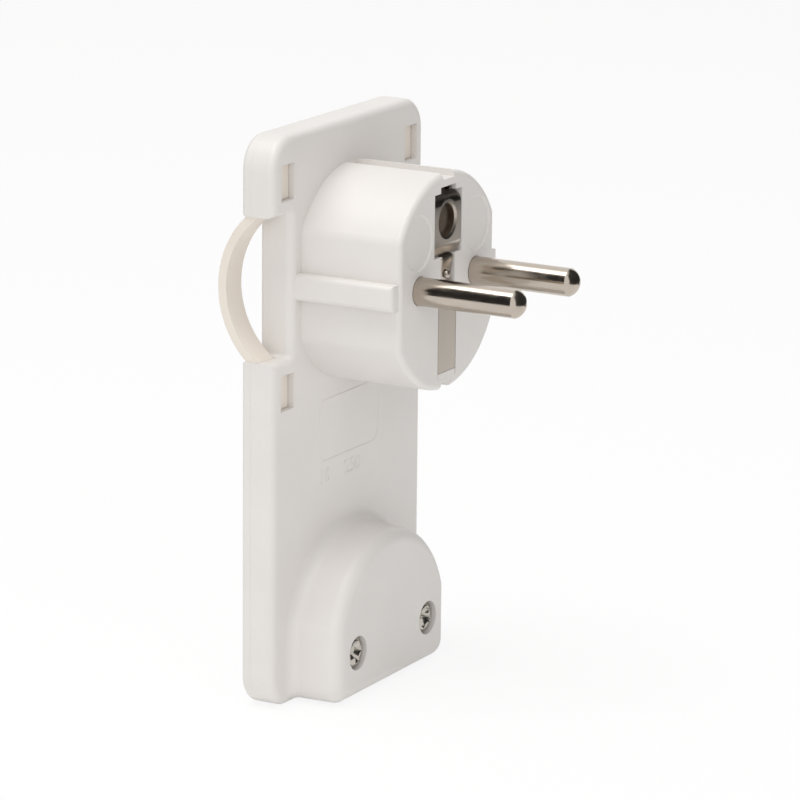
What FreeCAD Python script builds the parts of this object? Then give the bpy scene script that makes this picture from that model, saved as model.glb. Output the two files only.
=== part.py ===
import FreeCAD, Part
import math
import os

# Extra-flat rewirable earthed plug with two pull bows, in millimetres.
# Origin: centre of the head's face, halfway between the two pins.
# +Z up, -Y out of the face towards the socket, +X to the right of someone who looks along +Y.

# Contact pins
PIN_DIAMETER = 4.8
PIN_LENGTH = 19.6
PIN_DOME_RADIUS = 2.6
PIN_FROM_FLAT = 6.6
PIN_HOLE_CLEARANCE = 0.05
PIN_NECK_DIAMETER = 4.4
TERMINAL_WIDTH = 7.0
TERMINAL_HEIGHT = 8.0
TERMINAL_DEPTH = 10.5
WIRE_HOLE_DIAMETER = 3.4
WIRE_HOLE_FROM_FRONT = 4.5

# Head that enters the socket
HEAD_DIAMETER = 37.0
HEAD_DEPTH = 18.7
HEAD_FLAT_CUT = 2.4
HEAD_FLAT_BLEND = 2.5
HEAD_EDGE = 1.0
HEAD_WALL = 2.2
FACE_WALL = 2.5
RIB_REACH = 2.0
RIB_HEIGHT = 4.4
RIB_SETBACK = 0.4
RIB_EDGE = 0.8
CHANNEL_WIDTH = 3.8
CHANNEL_DEPTH = 1.2
MOULD_MARK_DIAMETER = 9.4
MOULD_MARK_OUTSIDE_PIN = 0.4
MOULD_MARK_BELOW_SOCKET = 2.2
MOULD_MARK_DEPTH = 0.3
INSIDE_CORNER = 0.3

# Flat body
BODY_WIDTH = 50.0
BODY_ABOVE_PINS = 25.7
BODY_BELOW_PINS = 71.4
BODY_THICKNESS = 6.2
BODY_CORNER = 5.5
BODY_WALL = 1.6
COVER_THICKNESS = 1.9
FRONT_EDGE = 1.4
BACK_EDGE = 0.9
COVER_RIM_HEIGHT = 1.2
COVER_RIM_WALL = 1.0
PART_CLEARANCE = 0.15

# Finger notches and the pull bows in them
NOTCH_DEPTH = 6.0
NOTCH_HEIGHT = 24.4
NOTCH_CENTRE_Z = 0.4
NOTCH_CORNER = 0.8
BOW_BULGE = 4.5
BOW_ENTRY_DEPTH = 0.89
BOW_THICKNESS = 1.5
BOW_WIDTH = 4.8
BOW_SIDE_GAP = 0.2
BOW_LUG_GAP = 0.08
BOW_FOOT_THICKNESS = 1.2
BOW_CLEARANCE = 0.2
WINDOW_WIDTH = 4.1
WINDOW_HEIGHT = 6.1
WINDOW_FROM_SIDE = 2.5
WINDOW_FROM_NOTCH = 2.4
BOW_FOOT_LAP = 0.5
BOW_FOOT_FROM_FRONT = 1.1

# Boss over the cord clamp
BOSS_FROM_SIDE = 6.5
BOSS_DEPTH = 9.0
BOSS_DRAFT = 0.5
BOSS_ABOVE_END = 0.4
BOSS_CENTRE_ABOVE_END = 7.2
BOSS_ARCH_PAST_SIDE = 1.0
BOSS_SHOULDER = 5.0
BOSS_CORNER = 3.0
BOSS_EDGE = 2.4
BOSS_FOOT_FILLET = 2.2
BOSS_WALL = 2.0
INLET_DIAMETER = 8.4
INLET_LENGTH = 4.0

# Earth contacts in the face
SHEET = 0.8
SOCKET_FROM_TOP = 8.3
SOCKET_BORE = 5.6
SOCKET_FLARE = 0.35
SOCKET_LENGTH = 10.6
SOCKET_PLATE_WIDTH = 8.9
SOCKET_PLATE_ABOVE = 4.7
SOCKET_PLATE_BELOW = 5.6
SOCKET_PLATE_SETBACK = 0.1
SOCKET_PLATE_FLANGE = 3.0
SOCKET_PLATE_LIP = 0.5
CLIP_ROOM_WIDTH = 5.2
CLIP_ROOM_HEIGHT = 1.2
CLIP_ROOM_SKIN = 0.8
STRIP_WIDTH = 5.8
STRIP_NECK_WIDTH = 4.3
STRIP_SETBACK = 0.2
STRIP_STEP = 1.2
STRIP_FROM_BOTTOM = 3.2
SLOT_FROM_BOTTOM = 2.0
RIVET_WINDOW_HEIGHT = 5.2
BRIDGE_HEIGHT = 2.6
CONTACT_CLEARANCE = 0.2
RIVET_ABOVE_BRIDGE = 1.7
RIVET_HEAD_DIAMETER = 2.2
RIVET_HEAD_HEIGHT = 0.5
RIVET_HEAD_EDGE = 0.3
RIVET_SHANK_DIAMETER = 1.2
EARTH_SCREW_FROM_WALL = 5.1
EARTH_TAIL_ABOVE_SCREW = 3.8

# Screws, nuts and the insert that holds the contacts
CARRIER_THICKNESS = 2.6
CARRIER_CLEARANCE = 0.2
SCREW_ACCESS_CLEARANCE = 0.3
PILLAR_DIAMETER = 3.6
PILLAR_FROM_WALL = 3.5
PILLAR_ANGLE = 51.3
TERMINAL_SCREW_DIAMETER = 3.0
TERMINAL_SCREW_HEAD = 5.0
TERMINAL_HEAD_HEIGHT = 1.8
TERMINAL_SCREW_IN_HOLE = 0.85
SCREW_SLOT_WIDTH = 0.8
SCREW_SLOT_DEPTH = 0.8
THREAD_CLEARANCE = 0.02
HOUSING_SCREW_FROM_SIDE = 6.5
HOUSING_SCREW_ABOVE_END = 8.4
HOUSING_SCREW_DIAMETER = 3.0
HOUSING_HEAD_DIAMETER = 5.4
HOUSING_HEAD_HEIGHT = 2.0
HOUSING_HEAD_EDGE = 0.65
HOUSING_HEAD_SUNK = 0.8
HOUSING_RECESS_DIAMETER = 5.9
HOUSING_POST_DIAMETER = 8.0
COVER_POST_DIAMETER = 7.6
NUT_ACROSS_FLATS = 5.5
NUT_THICKNESS = 2.4
CROSS_WIDTH = 0.9
CROSS_LENGTH = 3.4
CROSS_DEPTH = 1.2
CLAMP_SCREW_INSIDE_HOUSING_SCREW = 4.4
CLAMP_ABOVE_HOUSING_SCREWS = 7.0
CLAMP_SCREW_DIAMETER = 2.5
CLAMP_SCREW_HEAD = 4.2
CLAMP_HEAD_HEIGHT = 1.4
CLAMP_BAR_THICKNESS = 1.8
CLAMP_BAR_HEIGHT = 6.0
CLAMP_BAR_CORNER = 2.4
CLAMP_PILLAR_DIAMETER = 5.0
CLAMP_CORD_GAP = 6.6

# Planes along Y, from the face to the back
BODY_FRONT = HEAD_DEPTH
BODY_BACK = HEAD_DEPTH + BODY_THICKNESS
PARTING = BODY_BACK - COVER_THICKNESS
CAVITY_FRONT = BODY_FRONT + BODY_WALL
BOSS_FRONT = BODY_FRONT - BOSS_DEPTH
FOOT_BACK = CAVITY_FRONT + PART_CLEARANCE + BOW_FOOT_THICKNESS
LUG_FRONT = BODY_FRONT + BOW_FOOT_FROM_FRONT
TERMINAL_BACK = FACE_WALL + TERMINAL_DEPTH
CARRIER_BACK = TERMINAL_BACK + CARRIER_THICKNESS
SOCKET_PLATE_BACK = SOCKET_PLATE_SETBACK + SHEET
NECK_FRONT = SOCKET_PLATE_BACK + SOCKET_PLATE_LIP
NECK_BACK = NECK_FRONT + SHEET
CLAMP_SEAT = BOSS_FRONT + BOSS_WALL + CLAMP_CORD_GAP
INLET_Y = BOSS_FRONT + BOSS_EDGE + PART_CLEARANCE + INLET_DIAMETER / 2
SCREW_SEAT = BOSS_FRONT + HOUSING_HEAD_SUNK + HOUSING_HEAD_HEIGHT
NUT_SEAT = PARTING - COVER_RIM_HEIGHT - NUT_THICKNESS

# Heights
NOTCH_TOP = NOTCH_CENTRE_Z + NOTCH_HEIGHT / 2
NOTCH_BOTTOM = NOTCH_CENTRE_Z - NOTCH_HEIGHT / 2
BOSS_CENTRE_Z = BOSS_CENTRE_ABOVE_END - BODY_BELOW_PINS
HOUSING_SCREW_Z = HOUSING_SCREW_ABOVE_END - BODY_BELOW_PINS
CLAMP_Z = HOUSING_SCREW_Z + CLAMP_ABOVE_HOUSING_SCREWS
HEAD_RADIUS = HEAD_DIAMETER / 2
SOCKET_Z = HEAD_RADIUS - SOCKET_FROM_TOP
SOCKET_PLATE_TOP = SOCKET_Z + SOCKET_PLATE_ABOVE
SOCKET_PLATE_BOTTOM = SOCKET_Z - SOCKET_PLATE_BELOW
BRIDGE_TOP_Z = SOCKET_PLATE_BOTTOM - RIVET_WINDOW_HEIGHT
BRIDGE_BOTTOM_Z = BRIDGE_TOP_Z - BRIDGE_HEIGHT
RIVET_Z = BRIDGE_TOP_Z + RIVET_ABOVE_BRIDGE
STRIP_STEP_TOP_Z = BRIDGE_BOTTOM_Z - SHEET / 2
STRIP_STEP_END_Z = STRIP_STEP_TOP_Z - STRIP_STEP
STRIP_BOTTOM_Z = STRIP_FROM_BOTTOM - HEAD_RADIUS
SLOT_BOTTOM_Z = SLOT_FROM_BOTTOM - HEAD_RADIUS
EARTH_SCREW_Z = HEAD_WALL + EARTH_SCREW_FROM_WALL - HEAD_RADIUS
EARTH_TAIL_Z = EARTH_SCREW_Z + EARTH_TAIL_ABOVE_SCREW
MOULD_MARK_Z = SOCKET_Z - MOULD_MARK_BELOW_SOCKET
PILLAR_RADIUS = HEAD_RADIUS - HEAD_WALL - PILLAR_FROM_WALL
PILLAR_X = PILLAR_RADIUS * math.cos(math.radians(PILLAR_ANGLE))
PILLAR_Z = PILLAR_RADIUS * math.sin(math.radians(PILLAR_ANGLE))

# Across the width
HEAD_FLATS = HEAD_DIAMETER - 2 * HEAD_FLAT_CUT
PIN_SPACING = HEAD_FLATS - 2 * PIN_FROM_FLAT
MOULD_MARK_X = PIN_SPACING / 2 + MOULD_MARK_OUTSIDE_PIN
BOSS_WIDTH = BODY_WIDTH - 2 * BOSS_FROM_SIDE
HOUSING_SCREW_X = BOSS_WIDTH / 2 - HOUSING_SCREW_FROM_SIDE
CLAMP_SCREW_X = HOUSING_SCREW_X - CLAMP_SCREW_INSIDE_HOUSING_SCREW

# Arc of the bows, through its top and the notch's two edges
BOW_RISE = BOW_BULGE + BOW_ENTRY_DEPTH
BOW_RADIUS = ((NOTCH_HEIGHT / 2) ** 2 + BOW_RISE ** 2) / (2 * BOW_RISE)
BOW_CENTRE_Y = BODY_BACK + BOW_BULGE - BOW_RADIUS

OVERLAP = 1.0
TINY = 1e-3
SIDES = {"left": -1, "right": 1}


def in_xz(y):
    """Maps a flat drawing (x, z) to the plane at this y."""
    return lambda u, v: FreeCAD.Vector(u, y, v)


def in_yz(x):
    """Maps a flat drawing (y, z) to the plane at this x."""
    return lambda u, v: FreeCAD.Vector(x, u, v)


def rounded_wire(corners, place):
    """Closed wire through corners (u, v, radius); a radius of 0 keeps the corner sharp."""
    points = [place(u, v) for u, v, _ in corners]
    starts, ends, arcs = [], [], []
    for i, (_, _, radius) in enumerate(corners):
        arriving = (points[i] - points[i - 1]).normalize()
        leaving = (points[(i + 1) % len(points)] - points[i]).normalize()
        turn = arriving.getAngle(leaving)
        if radius <= 0 or turn < 1e-6:
            starts.append(points[i])
            ends.append(points[i])
            arcs.append(None)
            continue
        reach = radius * math.tan(turn / 2)
        starts.append(points[i] - arriving * reach)
        ends.append(points[i] + leaving * reach)
        inward = (leaving - arriving).normalize()
        middle = points[i] + inward * (radius / math.cos(turn / 2) - radius)
        arcs.append(middle)
    edges = []
    for i, middle in enumerate(arcs):
        if middle is not None:
            edges.append(Part.Arc(starts[i], middle, ends[i]).toShape())
        following = starts[(i + 1) % len(points)]
        if (following - ends[i]).Length > 1e-6:
            edges.append(Part.LineSegment(ends[i], following).toShape())
    return Part.Wire(edges)


def prism(wire, direction):
    return Part.Face(wire).extrude(direction)


def slab(corners, y_from, y_to):
    """Solid with a rounded outline in XZ between two planes along Y."""
    return prism(rounded_wire(corners, in_xz(y_from)), FreeCAD.Vector(0, y_to - y_from, 0))


def box(x_from, x_to, y_from, y_to, z_from, z_to):
    corner = FreeCAD.Vector(x_from, y_from, z_from)
    return Part.makeBox(x_to - x_from, y_to - y_from, z_to - z_from, corner)


def rod(x, z, y_from, y_to, diameter):
    """Cylinder along Y."""
    start = FreeCAD.Vector(x, y_from, z)
    return Part.makeCylinder(diameter / 2, y_to - y_from, start, FreeCAD.Vector(0, 1, 0))


def bent_sheet(path, half_width, bend):
    """Sheet of the common thickness that follows a path of (y, z) points and is as wide in X as given."""
    directions = []
    for first, second in zip(path, path[1:]):
        length = math.hypot(second[0] - first[0], second[1] - first[1])
        directions.append(((second[0] - first[0]) / length, (second[1] - first[1]) / length))
    sides = []
    for side in (1, -1):
        line = []
        for i, (y, z) in enumerate(path):
            before = directions[max(i - 1, 0)]
            after = directions[min(i, len(directions) - 1)]
            normal = (-(before[1] + after[1]), before[0] + after[0])
            scale = side * SHEET / (1 + before[0] * after[0] + before[1] * after[1]) / 2
            turn = before[0] * after[1] - before[1] * after[0]
            radius = 0 if turn == 0 else bend + (0 if turn * side > 0 else SHEET)
            line.append((y + normal[0] * scale, z + normal[1] * scale, radius))
        sides.append(line)
    outline = sides[0] + sides[1][::-1]
    return prism(rounded_wire(outline, in_yz(-half_width)), FreeCAD.Vector(2 * half_width, 0, 0))


def edges_where(shape, test):
    return [edge for edge in shape.Edges if test(edge.BoundBox)]


def slotted_screw(x, z, y_tip, y_seat, shank, head, head_height):
    """Cheese-head screw along Y whose head stands behind its seat."""
    screw = rod(x, z, y_tip, y_seat, shank).fuse(rod(x, z, y_seat, y_seat + head_height, head))
    top = y_seat + head_height
    slot = box(x - head, x + head, top - SCREW_SLOT_DEPTH, top + OVERLAP,
               z - SCREW_SLOT_WIDTH / 2, z + SCREW_SLOT_WIDTH / 2)
    return screw.cut(slot).removeSplitter()


def body_corners(inset):
    """Outline of the flat body with its two finger notches, moved inwards by the inset."""
    half = BODY_WIDTH / 2 - inset
    top = BODY_ABOVE_PINS - inset
    bottom = inset - BODY_BELOW_PINS
    inner = BODY_WIDTH / 2 - NOTCH_DEPTH - inset
    notch_top = NOTCH_TOP + inset
    notch_bottom = NOTCH_BOTTOM - inset
    corner = BODY_CORNER - inset
    inside = NOTCH_CORNER + inset
    right = [
        (half, bottom, corner),
        (half, notch_bottom, 0),
        (inner, notch_bottom, inside),
        (inner, notch_top, inside),
        (half, notch_top, 0),
        (half, top, corner),
    ]
    return right + [(-x, z, radius) for x, z, radius in reversed(right)]


def shoulder(radius, half, blend):
    """Blend between an arc about the origin and an upright at this half width: its start, middle and end."""
    rise = math.sqrt((radius - blend) ** 2 - (half - blend) ** 2)
    angle = math.atan2(rise, half - blend)
    middle = (half - blend + blend * math.cos(angle / 2), rise + blend * math.sin(angle / 2))
    return (radius * math.cos(angle), radius * math.sin(angle)), middle, (half, rise)


def head_wire(inset, y):
    """Circle with two flats and soft corners between them, moved inwards by the inset."""
    radius = HEAD_RADIUS - inset
    flat = HEAD_FLATS / 2 - inset
    on_arc, middle, on_flat = shoulder(radius, flat, max(HEAD_FLAT_BLEND - inset, INSIDE_CORNER))
    place = in_xz(y)
    edges = []
    for turn in (1, -1):
        points = [place(turn * u, turn * v) for u, v in (
            on_arc, (0, radius), (-on_arc[0], on_arc[1]), (-middle[0], middle[1]),
            (-on_flat[0], on_flat[1]), (-on_flat[0], -on_flat[1]), (-middle[0], -middle[1]),
            (-on_arc[0], -on_arc[1]))]
        edges.append(Part.Arc(points[0], points[1], points[2]).toShape())
        edges.append(Part.Arc(points[2], points[3], points[4]).toShape())
        edges.append(Part.LineSegment(points[4], points[5]).toShape())
        edges.append(Part.Arc(points[5], points[6], points[7]).toShape())
    return Part.Wire(edges)


def boss_wire(inset, y, bottom, corner):
    """Arch with shoulders on straight sides, and rounded lower corners."""
    half = BOSS_WIDTH / 2 - inset
    radius = half + BOSS_ARCH_PAST_SIDE
    on_arc, middle, on_side = shoulder(radius, half, BOSS_SHOULDER - inset)
    flat_place = in_xz(y)

    def place(u, v):
        return flat_place(u, BOSS_CENTRE_Z + v)

    base = bottom - BOSS_CENTRE_Z
    turn = corner * (1 - math.sqrt(0.5))
    return Part.Wire([
        Part.Arc(place(*on_arc), place(0, radius), place(-on_arc[0], on_arc[1])).toShape(),
        Part.Arc(place(-on_arc[0], on_arc[1]), place(-middle[0], middle[1]),
                 place(-half, on_side[1])).toShape(),
        Part.LineSegment(place(-half, on_side[1]), place(-half, base + corner)).toShape(),
        Part.Arc(place(-half, base + corner), place(-half + turn, base + turn),
                 place(-half + corner, base)).toShape(),
        Part.LineSegment(place(-half + corner, base), place(half - corner, base)).toShape(),
        Part.Arc(place(half - corner, base), place(half - turn, base + turn),
                 place(half, base + corner)).toShape(),
        Part.LineSegment(place(half, base + corner), place(half, on_side[1])).toShape(),
        Part.Arc(place(half, on_side[1]), place(*middle), place(*on_arc)).toShape(),
    ])


def bow_band(clearance):
    """Solid annulus about the bow's centre line, wide enough in X for one side of the body."""
    centre = FreeCAD.Vector(0, BOW_CENTRE_Y, NOTCH_CENTRE_Z)
    axis = FreeCAD.Vector(1, 0, 0)
    outer = Part.makeCylinder(BOW_RADIUS + clearance, BODY_WIDTH, centre, axis)
    inner = Part.makeCylinder(BOW_RADIUS - BOW_THICKNESS - clearance, BODY_WIDTH, centre, axis)
    return outer.cut(inner)


# Places across the width on the right-hand side; the left side mirrors them
BOW_OUTSIDE = BODY_WIDTH / 2 - BOW_SIDE_GAP
BOW_INSIDE = BOW_OUTSIDE - BOW_WIDTH
BOW_NECK_OUTSIDE = BODY_WIDTH / 2 - BODY_WALL - BOW_CLEARANCE
WINDOW_OUTSIDE = BODY_WIDTH / 2 - WINDOW_FROM_SIDE
WINDOW_INSIDE = WINDOW_OUTSIDE - WINDOW_WIDTH
FOOT_INSIDE = WINDOW_INSIDE - BOW_FOOT_LAP
FOOT_FROM_NOTCH = WINDOW_FROM_NOTCH - BOW_FOOT_LAP
FOOT_TO_NOTCH = WINDOW_FROM_NOTCH + WINDOW_HEIGHT + BOW_FOOT_LAP


def spans_above_and_below(distance_from, distance_to):
    """Heights at these distances above the notch, and the same below it."""
    return [
        (NOTCH_TOP + distance_from, NOTCH_TOP + distance_to),
        (NOTCH_BOTTOM - distance_to, NOTCH_BOTTOM - distance_from),
    ]


def mirrored(shape, side):
    if side > 0:
        return shape
    return shape.mirror(FreeCAD.Vector(0, 0, 0), FreeCAD.Vector(1, 0, 0))


def pull_bow(side):
    """Nylon band that bulges behind the notch, with feet behind the front wall and lugs in its windows."""
    band = bow_band(0)
    bow = band.common(box(BOW_INSIDE, BOW_OUTSIDE, CAVITY_FRONT, BODY_BACK + BOW_BULGE + OVERLAP,
                          NOTCH_BOTTOM, NOTCH_TOP))
    for z_from, z_to in spans_above_and_below(0, WINDOW_FROM_NOTCH + WINDOW_HEIGHT):
        neck = band.common(box(BOW_INSIDE, BOW_NECK_OUTSIDE, CAVITY_FRONT + PART_CLEARANCE,
                               BODY_BACK, z_from, z_to))
        bow = bow.fuse(neck)
    for z_from, z_to in spans_above_and_below(FOOT_FROM_NOTCH, FOOT_TO_NOTCH):
        bow = bow.fuse(box(FOOT_INSIDE, BOW_NECK_OUTSIDE, CAVITY_FRONT + PART_CLEARANCE,
                           FOOT_BACK, z_from, z_to))
    for z_from, z_to in spans_above_and_below(WINDOW_FROM_NOTCH + BOW_LUG_GAP,
                                              WINDOW_FROM_NOTCH + WINDOW_HEIGHT - BOW_LUG_GAP):
        bow = bow.fuse(box(WINDOW_INSIDE + BOW_LUG_GAP, WINDOW_OUTSIDE - BOW_LUG_GAP, LUG_FRONT,
                           FOOT_BACK, z_from, z_to))
    return mirrored(bow.removeSplitter(), side)


def bow_passages():
    """Room that the bows need in the two halves of the housing."""
    passage = bow_band(BOW_CLEARANCE).common(
        box(BOW_INSIDE - BOW_CLEARANCE, BOW_NECK_OUTSIDE + BOW_CLEARANCE,
            CAVITY_FRONT, BODY_BACK, NOTCH_BOTTOM - BODY_WALL * 2, NOTCH_TOP + BODY_WALL * 2))
    feet = [box(FOOT_INSIDE - BOW_CLEARANCE, BOW_NECK_OUTSIDE + BOW_CLEARANCE,
                CAVITY_FRONT, FOOT_BACK + BOW_CLEARANCE, z_from, z_to)
            for z_from, z_to in spans_above_and_below(FOOT_FROM_NOTCH - BOW_CLEARANCE,
                                                      FOOT_TO_NOTCH + BOW_CLEARANCE)]
    room = passage.fuse(feet)
    return room.fuse(mirrored(room, -1))


def outer_shell():
    """Outer form of the front housing: flat body, head with its ribs, and boss."""
    plate = slab(body_corners(0), BODY_FRONT, PARTING)
    front_edges = edges_where(plate, lambda b: b.YMax < BODY_FRONT + TINY)
    plate = plate.makeFillet(FRONT_EDGE, front_edges)

    head = prism(head_wire(0, 0), FreeCAD.Vector(0, HEAD_DEPTH + OVERLAP, 0))
    head = head.makeFillet(HEAD_EDGE, edges_where(head, lambda b: b.YMax < TINY))
    half_channel = CHANNEL_WIDTH / 2
    floor = HEAD_RADIUS - CHANNEL_DEPTH
    for z_from, z_to in ((floor, HEAD_DIAMETER), (-HEAD_DIAMETER, -floor)):
        head = head.cut(box(-half_channel, half_channel, -OVERLAP, BODY_FRONT, z_from, z_to))

    reach = HEAD_FLATS / 2 + RIB_REACH
    ribs = box(-reach, reach, RIB_SETBACK, BODY_FRONT + OVERLAP, -RIB_HEIGHT / 2, RIB_HEIGHT / 2)
    ribs = ribs.makeFillet(RIB_EDGE, edges_where(
        ribs, lambda b: b.YMax < RIB_SETBACK + TINY and b.XLength < TINY or b.YLength > BODY_FRONT / 2))

    bottom = BOSS_ABOVE_END - BODY_BELOW_PINS
    boss = Part.makeLoft([boss_wire(0, BOSS_FRONT, bottom, BOSS_CORNER),
                          boss_wire(-BOSS_DRAFT, BODY_FRONT, bottom, BOSS_CORNER)], True, True)
    boss = boss.makeFillet(BOSS_EDGE, edges_where(boss, lambda b: b.YMax < BOSS_FRONT + TINY))
    root = prism(boss_wire(-BOSS_DRAFT, BODY_FRONT, bottom, BOSS_CORNER),
                 FreeCAD.Vector(0, FRONT_EDGE + OVERLAP, 0))
    shell = plate.fuse([head, ribs, boss, root]).removeSplitter()
    boss_reach = BOSS_WIDTH / 2 + OVERLAP
    foot_edges = edges_where(shell, lambda b: b.YLength < TINY and abs(b.YMax - BODY_FRONT) < TINY
                             and b.ZMax < BOSS_CENTRE_Z + boss_reach
                             and b.XMax < boss_reach and b.XMin > -boss_reach)
    room_beside_boss = BODY_WIDTH / 2 - FRONT_EDGE - BOSS_WIDTH / 2 - BOSS_DRAFT
    return shell.makeFillet(min(BOSS_FOOT_FILLET, room_beside_boss / 2), foot_edges)


def shell_hollow():
    """Space inside the front housing, open at the back."""
    past_parting = PARTING + OVERLAP
    inner_bottom = INLET_LENGTH - BODY_BELOW_PINS
    flat = slab(body_corners(BODY_WALL), CAVITY_FRONT, past_parting)
    flat = flat.cut(box(-BODY_WIDTH, BODY_WIDTH, BODY_FRONT, past_parting,
                        -2 * BODY_BELOW_PINS, inner_bottom))
    head = prism(head_wire(HEAD_WALL, FACE_WALL), FreeCAD.Vector(0, CAVITY_FRONT, 0))
    boss_front = BOSS_FRONT + BOSS_WALL
    boss = prism(boss_wire(BOSS_WALL, boss_front, inner_bottom, BOSS_CORNER - BOSS_WALL),
                 FreeCAD.Vector(0, CAVITY_FRONT + OVERLAP - boss_front, 0))
    return flat.fuse([head, boss])


def face_openings():
    """Pin holes, earth windows and mould marks in the face."""
    cuts = []
    for side in SIDES.values():
        pin_x = side * PIN_SPACING / 2
        cuts.append(rod(pin_x, 0, -OVERLAP, FACE_WALL + OVERLAP, PIN_DIAMETER + 2 * PIN_HOLE_CLEARANCE))
        mark_radius = MOULD_MARK_DIAMETER / 2
        cuts.append(Part.makeCone(mark_radius, mark_radius - MOULD_MARK_DEPTH, MOULD_MARK_DEPTH,
                                  FreeCAD.Vector(side * MOULD_MARK_X, 0, MOULD_MARK_Z),
                                  FreeCAD.Vector(0, 1, 0)))
    gap = CONTACT_CLEARANCE
    plate_half = SOCKET_PLATE_WIDTH / 2 + gap
    neck_half = STRIP_NECK_WIDTH / 2 + gap
    strip_half = STRIP_WIDTH / 2 + gap
    behind = FACE_WALL + OVERLAP
    cuts.append(box(-plate_half, plate_half, -OVERLAP, behind,
                    SOCKET_PLATE_BOTTOM - gap, SOCKET_PLATE_TOP + gap))
    clip_half = CLIP_ROOM_WIDTH / 2
    cuts.append(box(-clip_half, clip_half, -OVERLAP, behind,
                    SOCKET_PLATE_TOP, SOCKET_PLATE_TOP + CLIP_ROOM_HEIGHT))
    cuts.append(box(-plate_half, plate_half, CLIP_ROOM_SKIN, behind,
                    SOCKET_PLATE_TOP, SOCKET_PLATE_TOP + CLIP_ROOM_HEIGHT))
    cuts.append(box(-neck_half, neck_half, -OVERLAP, behind, BRIDGE_TOP_Z, SOCKET_PLATE_BOTTOM))
    cuts.append(box(-neck_half, neck_half, NECK_FRONT, behind,
                    min(EARTH_TAIL_Z, BRIDGE_BOTTOM_Z) - SHEET, SOCKET_PLATE_BOTTOM))
    slot_back = STRIP_SETBACK + SHEET
    slot = rounded_wire([(-OVERLAP, SLOT_BOTTOM_Z, 0), (0, SLOT_BOTTOM_Z, 0), (slot_back, STRIP_BOTTOM_Z, 0),
                         (slot_back, BRIDGE_BOTTOM_Z, 0), (-OVERLAP, BRIDGE_BOTTOM_Z, 0)],
                        in_yz(-strip_half))
    cuts.append(prism(slot, FreeCAD.Vector(2 * strip_half, 0, 0)))
    cuts.append(box(-strip_half, strip_half, -OVERLAP, NECK_BACK, STRIP_STEP_END_Z - SHEET, BRIDGE_BOTTOM_Z))
    return cuts


def front_housing():
    """Moulded front half: flat body, hollow head, boss, screw posts and cord inlet."""
    shell = outer_shell().cut(shell_hollow())
    posts = []
    for side in SIDES.values():
        post_x = side * HOUSING_SCREW_X
        posts.append(rod(post_x, HOUSING_SCREW_Z, BOSS_FRONT + BOSS_WALL / 2, NUT_SEAT,
                         HOUSING_POST_DIAMETER))
        posts.append(rod(side * CLAMP_SCREW_X, CLAMP_Z, BOSS_FRONT + BOSS_WALL / 2, CLAMP_SEAT,
                         CLAMP_PILLAR_DIAMETER))
    shell = shell.fuse(posts)

    cuts = face_openings() + [bow_passages()]
    for side in SIDES.values():
        post_x = side * HOUSING_SCREW_X
        cuts.append(rod(post_x, HOUSING_SCREW_Z, BOSS_FRONT - OVERLAP, SCREW_SEAT,
                        HOUSING_RECESS_DIAMETER))
        cuts.append(rod(post_x, HOUSING_SCREW_Z, BOSS_FRONT, PARTING,
                        HOUSING_SCREW_DIAMETER + 2 * PART_CLEARANCE))
        cuts.append(rod(side * CLAMP_SCREW_X, CLAMP_Z, BOSS_FRONT + BOSS_WALL, CLAMP_SEAT + OVERLAP,
                        CLAMP_SCREW_DIAMETER + 2 * THREAD_CLEARANCE))
        window_x = sorted((side * WINDOW_INSIDE, side * WINDOW_OUTSIDE))
        for z_from, z_to in spans_above_and_below(WINDOW_FROM_NOTCH,
                                                  WINDOW_FROM_NOTCH + WINDOW_HEIGHT):
            cuts.append(box(*window_x, BODY_FRONT - OVERLAP, CAVITY_FRONT + OVERLAP, z_from, z_to))
    inlet_start = FreeCAD.Vector(0, INLET_Y, -BODY_BELOW_PINS - OVERLAP)
    cuts.append(Part.makeCylinder(INLET_DIAMETER / 2, INLET_LENGTH + 2 * OVERLAP, inlet_start))
    return shell.cut(cuts).removeSplitter()


def back_cover():
    """Flat back half with a locating rim, pillars for the carrier and pockets for the nuts."""
    cover = slab(body_corners(0), PARTING, BODY_BACK)
    cover = cover.makeFillet(BACK_EDGE, edges_where(cover, lambda b: b.YMin > BODY_BACK - TINY))
    rim_outside = BODY_WALL + PART_CLEARANCE
    rim = slab(body_corners(rim_outside), PARTING - COVER_RIM_HEIGHT, PARTING)
    rim = rim.cut(slab(body_corners(rim_outside + COVER_RIM_WALL),
                       PARTING - COVER_RIM_HEIGHT - OVERLAP, PARTING + OVERLAP))
    inner_bottom = INLET_LENGTH - BODY_BELOW_PINS + PART_CLEARANCE
    rim = rim.cut(box(-BODY_WIDTH, BODY_WIDTH, BODY_FRONT, PARTING,
                      -2 * BODY_BELOW_PINS, inner_bottom))
    added = [rim]
    for side in SIDES.values():
        added.append(rod(side * HOUSING_SCREW_X, HOUSING_SCREW_Z, NUT_SEAT + PART_CLEARANCE, PARTING,
                         COVER_POST_DIAMETER))
        for height in (PILLAR_Z, -PILLAR_Z):
            added.append(rod(side * PILLAR_X, height, CARRIER_BACK, PARTING, PILLAR_DIAMETER))
    cover = cover.fuse(added)
    cuts = [bow_passages()]
    for side in SIDES.values():
        post_x = side * HOUSING_SCREW_X
        cuts.append(hexagon(post_x, HOUSING_SCREW_Z, NUT_SEAT, NUT_SEAT + PART_CLEARANCE + NUT_THICKNESS,
                            NUT_ACROSS_FLATS + 2 * PART_CLEARANCE))
        cuts.append(rod(post_x, HOUSING_SCREW_Z, NUT_SEAT, PARTING,
                        HOUSING_SCREW_DIAMETER + 2 * PART_CLEARANCE))
    return cover.cut(cuts).removeSplitter()


def hexagon(x, z, y_from, y_to, across_flats):
    radius = across_flats / math.sqrt(3)
    corners = []
    for i in range(6):
        angle = math.radians(60 * i)
        corners.append((x + radius * math.cos(angle), z + radius * math.sin(angle), 0))
    return slab(corners, y_from, y_to)


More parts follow.
